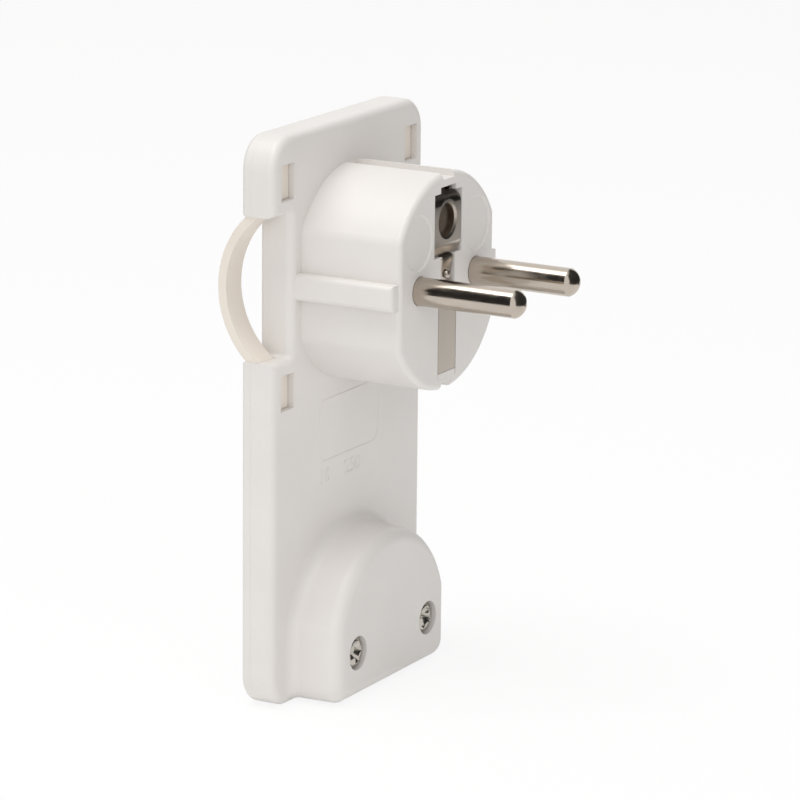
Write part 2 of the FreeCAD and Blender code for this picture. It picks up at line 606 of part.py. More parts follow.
def pin(side):
    """Solid brass pin with a domed tip and a terminal block behind the face."""
    x = side * PIN_SPACING / 2
    radius = PIN_DIAMETER / 2
    angle = math.asin(radius / PIN_DOME_RADIUS)
    outline = [FreeCAD.Vector(x + PIN_DOME_RADIUS * math.sin(part), PIN_DOME_RADIUS * (1 - math.cos(part))
                              - PIN_LENGTH, 0) for part in (0, angle / 2, angle)]
    on_axis = FreeCAD.Vector(x, 0, 0)
    root = FreeCAD.Vector(x + radius, 0, 0)
    half_section = Part.Wire([
        Part.Arc(*outline).toShape(),
        Part.LineSegment(outline[2], root).toShape(),
        Part.LineSegment(root, on_axis).toShape(),
        Part.LineSegment(on_axis, outline[0]).toShape(),
    ])
    shank = Part.Face(half_section).revolve(on_axis, FreeCAD.Vector(0, 1, 0), 360)
    neck = rod(x, 0, 0, FACE_WALL + OVERLAP, PIN_NECK_DIAMETER)
    half_width = TERMINAL_WIDTH / 2
    half_height = TERMINAL_HEIGHT / 2
    block = box(x - half_width, x + half_width, FACE_WALL, TERMINAL_BACK, -half_height, half_height)
    wire_y = FACE_WALL + WIRE_HOLE_FROM_FRONT
    wire_hole = Part.makeCylinder(WIRE_HOLE_DIAMETER / 2, TERMINAL_HEIGHT,
                                  FreeCAD.Vector(x, wire_y, -half_height))
    thread = rod(x, 0, wire_y, TERMINAL_BACK, TERMINAL_SCREW_DIAMETER + 2 * THREAD_CLEARANCE)
    return shank.fuse([neck, block]).cut([wire_hole, thread]).removeSplitter()


def terminal_screw(side):
    tip = FACE_WALL + WIRE_HOLE_FROM_FRONT + WIRE_HOLE_DIAMETER / 2 - TERMINAL_SCREW_IN_HOLE
    return slotted_screw(side * PIN_SPACING / 2, 0, tip, TERMINAL_BACK, TERMINAL_SCREW_DIAMETER,
                         TERMINAL_SCREW_HEAD, TERMINAL_HEAD_HEIGHT)


def earth_pin_socket():
    """Plate in the face with a drawn socket for the earth pin of the other kind of socket outlet."""
    middle = SOCKET_PLATE_SETBACK + SHEET / 2
    path = [
        (middle + SOCKET_PLATE_LIP, SOCKET_PLATE_BOTTOM),
        (middle, SOCKET_PLATE_BOTTOM + 2 * SHEET),
        (middle, SOCKET_PLATE_TOP - SHEET),
        (middle + SOCKET_PLATE_FLANGE, SOCKET_PLATE_TOP - SHEET),
    ]
    plate = bent_sheet(path, SOCKET_PLATE_WIDTH / 2, SHEET)
    bore = SOCKET_BORE / 2
    front = SOCKET_PLATE_SETBACK
    tube = rod(0, SOCKET_Z, front, front + SOCKET_LENGTH, SOCKET_BORE + 2 * SHEET)
    hole = rod(0, SOCKET_Z, front - OVERLAP, front + SOCKET_LENGTH + OVERLAP, SOCKET_BORE)
    mouth = Part.makeCone(bore + SOCKET_FLARE, bore, SOCKET_FLARE,
                          FreeCAD.Vector(0, front, SOCKET_Z), FreeCAD.Vector(0, 1, 0))
    return plate.fuse(tube).cut([hole, mouth]).removeSplitter()


def earth_strip():
    """Strip that runs under the bridge between the pins and shows in the lower slot."""
    neck_y = NECK_FRONT + SHEET / 2
    strip_y = STRIP_SETBACK + SHEET / 2
    path = [
        (neck_y, SOCKET_PLATE_BOTTOM + 2 * SHEET),
        (neck_y, STRIP_STEP_TOP_Z),
        (strip_y, STRIP_STEP_END_Z),
        (strip_y, STRIP_BOTTOM_Z + SHEET),
        (strip_y - STRIP_SETBACK, STRIP_BOTTOM_Z),
    ]
    strip = bent_sheet(path, STRIP_WIDTH / 2, SHEET / 2)
    trim = STRIP_WIDTH
    half_neck = STRIP_NECK_WIDTH / 2
    neck_end = BRIDGE_BOTTOM_Z - CONTACT_CLEARANCE
    neck_cuts = [
        box(half_neck, trim, -OVERLAP, NECK_BACK + OVERLAP, neck_end, SOCKET_Z),
        box(-trim, -half_neck, -OVERLAP, NECK_BACK + OVERLAP, neck_end, SOCKET_Z),
        rod(0, RIVET_Z, 0, NECK_BACK + OVERLAP, RIVET_SHANK_DIAMETER),
    ]
    return strip.cut(neck_cuts).removeSplitter()


def earth_terminal():
    """Bent tail from the strip back to the earth wire's screw."""
    half = STRIP_NECK_WIDTH / 2
    front_leg = NECK_BACK + SHEET / 2
    back_leg = TERMINAL_BACK - SHEET - SHEET / 2
    path = [
        (front_leg, SOCKET_PLATE_BOTTOM - SHEET),
        (front_leg, EARTH_TAIL_Z),
        (back_leg, EARTH_TAIL_Z),
        (back_leg, 2 * EARTH_SCREW_Z - EARTH_TAIL_Z),
    ]
    tail = bent_sheet(path, half, SHEET / 2)
    return tail.cut([
        rod(0, RIVET_Z, 0, NECK_BACK + 2 * SHEET, RIVET_SHANK_DIAMETER),
        rod(0, EARTH_SCREW_Z, TERMINAL_BACK / 2, TERMINAL_BACK,
            TERMINAL_SCREW_DIAMETER + 2 * THREAD_CLEARANCE),
    ])


def earth_rivet():
    front = NECK_FRONT
    back = NECK_BACK + SHEET
    head = rod(0, RIVET_Z, front - RIVET_HEAD_HEIGHT, front, RIVET_HEAD_DIAMETER)
    head = head.makeFillet(RIVET_HEAD_EDGE, edges_where(
        head, lambda b: b.YMax < front - RIVET_HEAD_HEIGHT + TINY))
    shank = rod(0, RIVET_Z, front, back, RIVET_SHANK_DIAMETER)
    tail = rod(0, RIVET_Z, back, back + RIVET_HEAD_HEIGHT, RIVET_HEAD_DIAMETER)
    return head.fuse([shank, tail]).removeSplitter()


def earth_washer():
    """Square clamping plate under the earth screw."""
    half = STRIP_NECK_WIDTH / 2
    front = TERMINAL_BACK - SHEET
    washer = box(-half, half, front, TERMINAL_BACK, EARTH_SCREW_Z - half, EARTH_SCREW_Z + half)
    hole = rod(0, EARTH_SCREW_Z, front - OVERLAP, TERMINAL_BACK + OVERLAP,
               TERMINAL_SCREW_DIAMETER + 2 * PART_CLEARANCE)
    return washer.cut(hole)


def earth_screw():
    tip = TERMINAL_BACK - 2 * SHEET - TERMINAL_SCREW_DIAMETER
    return slotted_screw(0, EARTH_SCREW_Z, tip, TERMINAL_BACK, TERMINAL_SCREW_DIAMETER,
                         TERMINAL_SCREW_HEAD, TERMINAL_HEAD_HEIGHT)


def contact_carrier():
    """Insulating insert that closes the head and holds the contacts against the face."""
    wire = head_wire(HEAD_WALL + CARRIER_CLEARANCE, TERMINAL_BACK)
    carrier = prism(wire, FreeCAD.Vector(0, CARRIER_THICKNESS, 0))
    access = TERMINAL_SCREW_HEAD + 2 * SCREW_ACCESS_CLEARANCE
    places = [(-PIN_SPACING / 2, 0), (PIN_SPACING / 2, 0), (0, EARTH_SCREW_Z), (0, SOCKET_Z)]
    holes = [rod(x, z, TERMINAL_BACK - OVERLAP, CARRIER_BACK + OVERLAP, access) for x, z in places]
    return carrier.cut(holes)


def cord_clamp_bar():
    """Bar that presses the cord against the boss, on its two pillars."""
    half_height = CLAMP_BAR_HEIGHT / 2
    half_length = CLAMP_SCREW_X + CLAMP_PILLAR_DIAMETER / 2
    corners = [(x, z, CLAMP_BAR_CORNER) for x, z in (
        (half_length, CLAMP_Z - half_height), (half_length, CLAMP_Z + half_height),
        (-half_length, CLAMP_Z + half_height), (-half_length, CLAMP_Z - half_height))]
    bar = slab(corners, CLAMP_SEAT, CLAMP_SEAT + CLAMP_BAR_THICKNESS)
    holes = [rod(side * CLAMP_SCREW_X, CLAMP_Z, CLAMP_SEAT - OVERLAP,
                 CLAMP_SEAT + CLAMP_BAR_THICKNESS + OVERLAP,
                 CLAMP_SCREW_DIAMETER + 2 * PART_CLEARANCE) for side in SIDES.values()]
    return bar.cut(holes)


def clamp_screw(side):
    seat = CLAMP_SEAT + CLAMP_BAR_THICKNESS
    tip = BOSS_FRONT + BOSS_WALL + 2 * THREAD_CLEARANCE
    return slotted_screw(side * CLAMP_SCREW_X, CLAMP_Z, tip, seat, CLAMP_SCREW_DIAMETER,
                         CLAMP_SCREW_HEAD, CLAMP_HEAD_HEIGHT)


def housing_screw(side):
    """Cross-recessed pan-head screw that is driven from the front of the boss."""
    x = side * HOUSING_SCREW_X
    z = HOUSING_SCREW_Z
    front = BOSS_FRONT + HOUSING_HEAD_SUNK
    head = rod(x, z, front, SCREW_SEAT, HOUSING_HEAD_DIAMETER)
    head = head.makeFillet(HOUSING_HEAD_EDGE, edges_where(
        head, lambda b: b.YMax < front + TINY))
    shank = rod(x, z, SCREW_SEAT, NUT_SEAT + PART_CLEARANCE + NUT_THICKNESS, HOUSING_SCREW_DIAMETER)
    half = CROSS_LENGTH / 2
    thin = CROSS_WIDTH / 2
    cross = [box(x - half, x + half, front - OVERLAP, front + CROSS_DEPTH, z - thin, z + thin),
             box(x - thin, x + thin, front - OVERLAP, front + CROSS_DEPTH, z - half, z + half)]
    return head.fuse(shank).cut(cross).removeSplitter()


def housing_nut(side):
    x = side * HOUSING_SCREW_X
    front = NUT_SEAT + PART_CLEARANCE
    nut = hexagon(x, HOUSING_SCREW_Z, front, front + NUT_THICKNESS, NUT_ACROSS_FLATS)
    hole = rod(x, HOUSING_SCREW_Z, front - OVERLAP, front + NUT_THICKNESS + OVERLAP,
               HOUSING_SCREW_DIAMETER + 2 * THREAD_CLEARANCE)
    return nut.cut(hole)


def build():
    parts = {
        "front_housing": front_housing(),
        "back_cover": back_cover(),
        "contact_carrier": contact_carrier(),
        "earth_pin_socket": earth_pin_socket(),
        "earth_strip": earth_strip(),
        "earth_terminal": earth_terminal(),
        "earth_rivet": earth_rivet(),
        "earth_washer": earth_washer(),
        "earth_screw": earth_screw(),
        "cord_clamp_bar": cord_clamp_bar(),
    }
    for name, side in SIDES.items():
        parts["pin_" + name] = pin(side)
        parts["terminal_screw_" + name] = terminal_screw(side)
        parts["pull_bow_" + name] = pull_bow(side)
        parts["clamp_screw_" + name] = clamp_screw(side)
        parts["housing_screw_" + name] = housing_screw(side)
        parts["housing_nut_" + name] = housing_nut(side)
    return parts


def main():
    os.makedirs("parts", exist_ok=True)
    for name, shape in build().items():
        print(name, "solids", len(shape.Solids), "valid", shape.isValid(), "volume", round(shape.Volume, 1))
        shape.exportStep("parts/" + name + ".step")


main()
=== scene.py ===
import math

import bmesh
import bpy
from mathutils import Matrix, Vector


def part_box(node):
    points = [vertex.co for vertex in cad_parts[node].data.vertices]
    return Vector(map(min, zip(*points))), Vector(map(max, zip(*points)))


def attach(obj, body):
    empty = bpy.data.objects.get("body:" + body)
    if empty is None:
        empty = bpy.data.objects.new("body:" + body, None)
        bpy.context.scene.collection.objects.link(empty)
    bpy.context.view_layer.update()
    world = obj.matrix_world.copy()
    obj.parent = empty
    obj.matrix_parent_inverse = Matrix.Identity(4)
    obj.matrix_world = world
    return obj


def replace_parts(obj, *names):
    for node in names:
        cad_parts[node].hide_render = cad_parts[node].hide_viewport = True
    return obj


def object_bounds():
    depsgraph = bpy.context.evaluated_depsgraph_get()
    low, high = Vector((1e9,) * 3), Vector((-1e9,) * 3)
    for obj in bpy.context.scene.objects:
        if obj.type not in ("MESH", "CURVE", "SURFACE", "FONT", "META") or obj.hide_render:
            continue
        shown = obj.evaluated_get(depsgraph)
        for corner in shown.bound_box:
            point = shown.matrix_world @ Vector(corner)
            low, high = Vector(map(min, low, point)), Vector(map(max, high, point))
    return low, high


# Looks of the extra-flat earthed plug, in metres, in the frame of its CAD model:
# origin at the centre of the face, +Z up, -Y out of the face, +X to the right.
MM = 0.001

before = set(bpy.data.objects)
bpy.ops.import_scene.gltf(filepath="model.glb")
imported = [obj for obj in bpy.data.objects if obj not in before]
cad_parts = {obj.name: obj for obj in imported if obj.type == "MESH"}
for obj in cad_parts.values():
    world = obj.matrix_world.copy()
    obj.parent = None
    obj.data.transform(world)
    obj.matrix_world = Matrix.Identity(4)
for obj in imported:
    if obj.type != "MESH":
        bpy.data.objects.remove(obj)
cad_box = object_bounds()

# Camera of the photograph: a long lens, in front of the face and to its left, with angles in degrees
CAMERA_AZIMUTH = -60.73
CAMERA_ELEVATION = 14.08
CAMERA_ROLL = 0.56
CAMERA_DISTANCE = 750 * MM
CAMERA_TARGET = Vector((-7.34, 4.73, -19.48)) * MM
CLIP_START = 0.01
CLIP_END = 50

# Sensor width in millimetres, then the image width and the focal length in pixels
SENSOR_WIDTH = 36.0
IMAGE_WIDTH = 800
FOCAL_PIXELS = 4515

# Stand-in studio: floor, light from all sides, lamps, and dark cards beside the set
FLOOR_SIZE = 6.0
FLOOR_SHADOW = 0.14
AMBIENT_LEVEL = 0.50
AMBIENT_COLOUR = (1, 0.995, 0.985, 1)
WHITE = (1, 1, 1, 1)
SOFTBOXES = {
    "key": {"place": Vector((-0.22, 0.10, 0.80)), "size": (0.5, 0.5),
            "power": 3.0, "mirrored": True},
    "left": {"place": Vector((-1.0, -0.15, 0.35)), "size": (0.7, 0.7),
             "power": 0.9, "mirrored": False},
    "front": {"place": Vector((-0.7, -0.8, 0.55)), "size": (0.7, 0.7),
              "power": 1.75, "mirrored": False},
    "strip": {"place": Vector((-0.13, 0.40, 0.735)), "size": (0.5, 0.22),
              "power": 0.67, "mirrored": True},
}
LEFT_CARD = {"distance": 0.14, "half_length": 0.45, "bottom": -0.023, "top": 0.225}
RIGHT_CARD = {"distance": 0.31, "half_length": 0.5, "bottom": -0.07, "top": 0.8}
CARD_COLOUR = (0.03, 0.03, 0.03, 1)

# Finishes: two colours that mix in blotches, base roughness, and radius of the softened edges
PLASTICS = {
    "white_housing": {"light": (0.815, 0.785, 0.757), "dark": (0.79, 0.76, 0.732),
                      "roughness": 0.42, "edge": 0.08 * MM},
    "cream_nylon": {"light": (0.87, 0.80, 0.72), "dark": (0.83, 0.76, 0.68),
                    "roughness": 0.40, "edge": 0.12 * MM},
    "inner_plastic": {"light": (0.72, 0.71, 0.69), "dark": (0.69, 0.68, 0.66),
                      "roughness": 0.5, "edge": 0.12 * MM},
}

# Metals also have a grain, which may be drawn out along one axis
METALS = {
    "bright_nickel": {"light": (0.56, 0.495, 0.425), "dark": (0.52, 0.46, 0.395),
                      "roughness": 0.17, "edge": 0.1 * MM,
                      "stretch": (1, 0.3, 1), "grain_depth": 0.002 * MM},
    "zinc_steel": {"light": (0.58, 0.545, 0.49), "dark": (0.50, 0.465, 0.415),
                   "roughness": 0.22, "edge": 0.08 * MM,
                   "stretch": (1, 1, 1), "grain_depth": 0.004 * MM},
}

# Sheet metal has its lowest and highest roughness instead of a base
SHEET = {"light": (0.53, 0.475, 0.415), "dark": (0.52, 0.466, 0.407),
         "roughness": (0.28, 0.30), "edge": 0.06 * MM,
         "stretch": (1, 1, 0.4), "grain_depth": 0.0003 * MM}

# Depths behind the face over which the sheet metal turns from bright to dull, and its dull colour
DULL_DEPTHS = (1.6 * MM, 2.4 * MM)
DULL_COLOUR = (0.34, 0.275, 0.22)

# Painted shade: heights over which the earth plate's colour is darkened under the upper edge of its
# opening, and the colour of that painted shade
PAINTED_SHADE_HEIGHTS = (11.0 * MM, 15.5 * MM)
PAINTED_SHADE_COLOUR = (0.07, 0.063, 0.056)

# Noise of the finishes: cells per metre and levels of detail
PLASTIC_MOTTLE = (90, 3.0)
PLASTIC_GLOSS = (2600, 2.0)
PLASTIC_GRAIN = (5200, 2.0)
PLASTIC_WAVE = (60, 1.0)
METAL_TINT = (700, 3.0)
METAL_GLOSS = (1500, 3.0)
METAL_GRAIN = (2500, 3.0)
SHEET_TINT = (400, 2.0)
SHEET_GLOSS = (300, 1.0)

# Part of that noise's range over which a colour or a roughness varies
NOISE_RANGE = (0.3, 0.7)

# How far roughness goes below and above its base
PLASTIC_SPREAD = (-0.04, 0.05)
METAL_SPREAD = (-0.04, 0.06)

# Relief of the finishes: depth and strength
PLASTIC_GRAIN_RELIEF = (0.004 * MM, 0.35)
PLASTIC_WAVE_RELIEF = (0.05 * MM, 0.25)
METAL_GRAIN_STRENGTH = 0.5
BEVEL_SAMPLES = 6

# Front plane of the flat body, as in the CAD model
BODY_FRONT = 18.7 * MM

# Raised marks on the flat front, below the head
RIDGE_WIDTH = 0.4 * MM
RIDGE_HEIGHT = 0.09 * MM
RIDGE_SUNK = 0.1 * MM
RIDGE_BEVEL = 0.08 * MM
FRAME_LEFT = -10.7 * MM
FRAME_RIGHT = 10.4 * MM
FRAME_TOP = -21.0 * MM
FRAME_BOTTOM = -32.0 * MM
FRAME_CORNER = 2.6 * MM
NUMBERS = (("16", -9.9 * MM), ("250", -1.5 * MM))
NUMBER_BASELINE = -35.6 * MM
NUMBER_HEIGHT = 2.6 * MM

# Height of a digit as a share of the font's size, and the steps in each of its curves
CAPITAL_SHARE = 0.72
DIGIT_STEPS = 4

# Pad of the rivet; its layers and those below are (inset, y) pairs from back to front
BRIDGE_TOP = -0.6 * MM
PAD_HALF_WIDTH = 2.1 * MM
PAD_FRONT = 0.35 * MM
PAD_LEAN = 0.16
PAD_CORNER = 0.5 * MM
PAD_GAP = 0.12 * MM
PAD_LAYERS = ((0, 1.45 * MM), (0, PAD_FRONT + 0.4 * MM),
              (0.1 * MM, PAD_FRONT + 0.12 * MM), (0.3 * MM, PAD_FRONT))

# Rivet; the depths of its dimple are those of the floor and of the edge, below the tip of the dome
RIVET_RADIUS = 0.75 * MM
RIVET_HEIGHT = 0.85 * MM
RIVET_SHANK = RIVET_RADIUS * 0.7
RIVET_FLANGE = 0.5 * MM
RIVET_SEGMENTS = 32
DIMPLE_RADIUS = 0.28 * MM
DIMPLE_DEPTHS = (0.12 * MM, 0.1 * MM)
DOME_START = DIMPLE_RADIUS * 1.15

# Straight front of the strip, and the filling at the end of its slot
STRIP_TOP = -3.25 * MM
STRIP_END = -15.4 * MM
STRIP_CORNER = 0.1 * MM
STRIP_LAYERS = ((0, 0.75 * MM), (0, 0.05 * MM), (0.06 * MM, -0.01 * MM))
SLOT_END = -15.45 * MM
SLOT_BOTTOM = -16.7 * MM
FILL_CORNER = 0.2 * MM
FILL_LAYERS = ((0, 1.8 * MM), (0, 0.1 * MM), (0.08 * MM, 0.02 * MM))

# Housing screws, whose heads lie further forward than those of the CAD model
SCREW_DOME = 0.4 * MM
SCREW_EDGE = 0.35 * MM
SCREW_FORWARD = 0.5 * MM
SCREW_HEAD_DEPTH = 2.0 * MM
SHANK_RADIUS = 1.5 * MM
SCREW_SEGMENTS = 64

# Their cross recess: half-sizes of its arm and core in front and at the bottom, and its turn in degrees
CROSS_ARM = {"front": (1.95 * MM, 0.5 * MM), "back": (0.9 * MM, 0.3 * MM), "depth": 1.5 * MM}
CROSS_CORE = {"front": (1.0 * MM, 1.0 * MM), "back": (0.45 * MM, 0.45 * MM), "depth": 1.7 * MM}
TURN_OF_CROSS = {"housing_screw_left": 12, "housing_screw_right": -28}
CUTTER_PROUD = 0.3 * MM

# Steps of the round forms, and limits for the clean-up of their meshes
DOME_STEPS = 8
EDGE_STEPS = 4
CORNER_STEPS = 6
SMOOTH_BELOW = math.radians(35)
SAME_POINT = 0.001 * MM
TINY_EDGE = 0.005 * MM


# Shader nodes

def empty_tree(owner):
    """Cleared node tree of a material or of the world."""
    owner.use_nodes = True
    owner.node_tree.nodes.clear()
    return owner.node_tree


class Graph:
    """Short forms for the nodes of one material."""

    def __init__(self, name):
        self.material = bpy.data.materials.new(name)
        self.tree = empty_tree(self.material)
        self.output = self.tree.nodes.new("ShaderNodeOutputMaterial")
        self.place = self.tree.nodes.new("ShaderNodeTexCoord").outputs["Object"]

    def link(self, source, target):
        self.tree.links.new(source, target)

    def noise(self, scale, detail, stretch=(1, 1, 1)):
        """Noise whose scale is cells per metre, stretched along the axes."""
        mapping = self.tree.nodes.new("ShaderNodeMapping")
        mapping.inputs["Scale"].default_value = stretch
        self.link(self.place, mapping.inputs["Vector"])
        node = self.tree.nodes.new("ShaderNodeTexNoise")
        node.inputs["Scale"].default_value = scale
        node.inputs["Detail"].default_value = detail
        self.link(mapping.outputs["Vector"], node.inputs["Vector"])
        return node.outputs[0]

    def remap(self, value, low, high, source=NOISE_RANGE):
        """The value, with the ends of its source range moved to low and high."""
        node = self.tree.nodes.new("ShaderNodeMapRange")
        node.inputs["From Min"].default_value = source[0]
        node.inputs["From Max"].default_value = source[1]
        node.inputs["To Min"].default_value = low
        node.inputs["To Max"].default_value = high
        self.link(value, node.inputs["Value"])
        return node.outputs["Result"]

    def blend(self, factor, first, second):
        """Colour between two others, of which the first may also come out of a node."""
        node = self.tree.nodes.new("ShaderNodeMix")
        node.data_type = "RGBA"
        self.link(factor, node.inputs["Factor"])
        if isinstance(first, tuple):
            node.inputs["A"].default_value = (*first, 1)
        else:
            self.link(first, node.inputs["A"])
        node.inputs["B"].default_value = (*second, 1)
        return [socket for socket in node.outputs if socket.type == "RGBA"][0]

    def rounded_edges(self, radius):
        node = self.tree.nodes.new("ShaderNodeBevel")
        node.samples = BEVEL_SAMPLES
        node.inputs["Radius"].default_value = radius
        return node.outputs["Normal"]

    def bump(self, height, distance, strength, normal):
        node = self.tree.nodes.new("ShaderNodeBump")
        node.inputs["Strength"].default_value = strength
        node.inputs["Distance"].default_value = distance
        self.link(height, node.inputs["Height"])
        self.link(normal, node.inputs["Normal"])
        return node.outputs["Normal"]

    def principled(self, colour, roughness, normal, metallic=0.0, metal_mask=None):
        node = self.tree.nodes.new("ShaderNodeBsdfPrincipled")
        node.inputs["Metallic"].default_value = metallic
        if metal_mask is not None:
            self.link(metal_mask, node.inputs["Metallic"])
        self.link(colour, node.inputs["Base Color"])
        self.link(roughness, node.inputs["Roughness"])
        self.link(normal, node.inputs["Normal"])
        self.link(node.outputs["BSDF"], self.output.inputs["Surface"])
        return self.material


def moulded_plastic(name):
    """Satin moulding: faint mottling, a fine spark-eroded grain and softly rounded edges."""
    look = PLASTICS[name]
    graph = Graph(name)
    mottle = graph.remap(graph.noise(*PLASTIC_MOTTLE), 0.0, 1.0)
    colour = graph.blend(mottle, look["light"], look["dark"])
    gloss = graph.remap(graph.noise(*PLASTIC_GLOSS), look["roughness"] + PLASTIC_SPREAD[0],
                        look["roughness"] + PLASTIC_SPREAD[1])
    edges = graph.rounded_edges(look["edge"])
    grain = graph.bump(graph.noise(*PLASTIC_GRAIN), *PLASTIC_GRAIN_RELIEF, edges)
    wave = graph.bump(graph.noise(*PLASTIC_WAVE), *PLASTIC_WAVE_RELIEF, grain)
    return graph.principled(colour, gloss, wave)


def metal_grain(graph, look):
    """Normal of a metal, with its grain and its softened edges."""
    return graph.bump(graph.noise(*METAL_GRAIN, look["stretch"]), look["grain_depth"],
                      METAL_GRAIN_STRENGTH, graph.rounded_edges(look["edge"]))


def plated_metal(name):
    """Nickel or zinc plating."""
    look = METALS[name]
    graph = Graph(name)
    tint = graph.remap(graph.noise(*METAL_TINT, look["stretch"]), 0.0, 1.0)
    colour = graph.blend(tint, look["light"], look["dark"])
    gloss = graph.remap(graph.noise(*METAL_GLOSS, look["stretch"]), look["roughness"] + METAL_SPREAD[0],
                        look["roughness"] + METAL_SPREAD[1])
    return graph.principled(colour, gloss, metal_grain(graph, look), metallic=1.0)


def sheet_nickel():
    """Plated sheet, bright in front and dull brown where it lies deep in the plug, with painted shade
    near the top of the earth plate.
    """
    graph = Graph("sheet_nickel")
    tint = graph.remap(graph.noise(*SHEET_TINT, SHEET["stretch"]), 0.0, 1.0)
    plated = graph.blend(tint, SHEET["light"], SHEET["dark"])
    parts = graph.tree.nodes.new("ShaderNodeSeparateXYZ")
    graph.link(graph.place, parts.inputs[0])
    # Painted shade: the plate's colour darkens towards the upper edge of its opening
    painted_shade_mask = graph.remap(parts.outputs["Z"], 0.0, 1.0, PAINTED_SHADE_HEIGHTS)
    with_painted_shade = graph.blend(painted_shade_mask, plated, PAINTED_SHADE_COLOUR)
    deep = graph.remap(parts.outputs["Y"], 0.0, 1.0, DULL_DEPTHS)
    colour = graph.blend(deep, with_painted_shade, DULL_COLOUR)
    bare = graph.remap(parts.outputs["Y"], 1.0, 0.0, DULL_DEPTHS)
    gloss = graph.remap(graph.noise(*SHEET_GLOSS, SHEET["stretch"]), *SHEET["roughness"])
    return graph.principled(colour, gloss, metal_grain(graph, SHEET), metallic=1.0, metal_mask=bare)


def dress(names, material):
    """Gives CAD nodes their finish."""
    for name in names:
        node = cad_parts[name]
        node.data.materials.clear()
        node.data.materials.append(material)


def both(name):
    return [name + "_left", name + "_right"]


# Studio

def add_object(name, data):
    made = bpy.data.objects.new(name, data)
    bpy.context.scene.collection.objects.link(made)
    return made


def add_plane(name, corners, material):
    """Flat staging with four corners."""
    data = bpy.data.meshes.new(name)
    data.from_pydata(corners, [], [(0, 1, 2, 3)])
    data.materials.append(material)
    return add_object(name, data)


def add_camera():
    """Adds the camera and returns its rotation."""
    azimuth = math.radians(CAMERA_AZIMUTH)
    elevation = math.radians(CAMERA_ELEVATION)
    back = Vector((math.sin(azimuth) * math.cos(elevation),
                   -math.cos(azimuth) * math.cos(elevation),
                   math.sin(elevation)))
    data = bpy.data.cameras.new("camera")
    data.sensor_width = SENSOR_WIDTH
    data.lens = FOCAL_PIXELS / IMAGE_WIDTH * SENSOR_WIDTH
    data.clip_start = CLIP_START
    data.clip_end = CLIP_END
    camera = add_object("camera", data)
    roll = Matrix.Rotation(math.radians(CAMERA_ROLL), 3, "Z")
    turn = (-back).to_track_quat("-Z", "Y").to_matrix() @ roll
    camera.matrix_world = Matrix.Translation(CAMERA_TARGET + back * CAMERA_DISTANCE) @ turn.to_4x4()
    bpy.context.scene.camera = camera
    return turn


def seen_directly(tree):
    """1 for rays from the camera, in reflections and through glass."""
    rays = tree.nodes.new("ShaderNodeLightPath")
    total = rays.outputs["Is Camera Ray"]
    for name in ("Is Glossy Ray", "Is Transmission Ray"):
        larger = tree.nodes.new("ShaderNodeMath")
        larger.operation = "MAXIMUM"
        tree.links.new(total, larger.inputs[0])
        tree.links.new(rays.outputs[name], larger.inputs[1])
        total = larger.outputs[0]
    return total


def mixed_shader(tree, first, second):
    node = tree.nodes.new("ShaderNodeMixShader")
    tree.links.new(first.outputs[0], node.inputs[1])
    tree.links.new(second.outputs[0], node.inputs[2])
    return node


def add_floor():
    """Pale floor: white to the camera and in reflections, with a faint shadow of the plug on it."""
    material = bpy.data.materials.new("floor")
    tree = empty_tree(material)
    output = tree.nodes.new("ShaderNodeOutputMaterial")
    plain = tree.nodes.new("ShaderNodeBsdfDiffuse")
    plain.inputs["Color"].default_value = WHITE
    glow = tree.nodes.new("ShaderNodeEmission")
    glow.inputs["Color"].default_value = WHITE
    backdrop = mixed_shader(tree, glow, plain)
    backdrop.inputs["Fac"].default_value = FLOOR_SHADOW
    pick = mixed_shader(tree, plain, backdrop)
    tree.links.new(seen_directly(tree), pick.inputs["Fac"])
    tree.links.new(pick.outputs[0], output.inputs["Surface"])
    half = FLOOR_SIZE / 2
    height = cad_box[0].z
    floor = add_plane("floor", [(-half, -half, height), (half, -half, height),
                                (half, half, height), (-half, half, height)], material)


def add_world():
    """Soft light from all sides; white to the camera and in reflections."""
    world = bpy.data.worlds.new("studio")
    bpy.context.scene.world = world
    tree = empty_tree(world)
    output = tree.nodes.new("ShaderNodeOutputWorld")
    soft = tree.nodes.new("ShaderNodeBackground")
    soft.inputs["Color"].default_value = AMBIENT_COLOUR
    soft.inputs["Strength"].default_value = AMBIENT_LEVEL
    white = tree.nodes.new("ShaderNodeBackground")
    white.inputs["Color"].default_value = WHITE
    white.inputs["Strength"].default_value = 1.0
    pick = mixed_shader(tree, soft, white)
    tree.links.new(seen_directly(tree), pick.inputs["Fac"])
    tree.links.new(pick.outputs[0], output.inputs["Surface"])


def add_softbox(name, place, size, power, mirrored):
    """Lamp aimed at the plug, with its power in watts; only a mirrored one shows in the metal."""
    data = bpy.data.lights.new(name, "AREA")
    data.shape = "RECTANGLE"
    data.size, data.size_y = size
    data.energy = power
    lamp = add_object(name, data)
    lamp.visible_glossy = mirrored
    lamp.location = place
    lamp.rotation_euler = (CAMERA_TARGET - place).to_track_quat("-Z", "Y").to_euler()


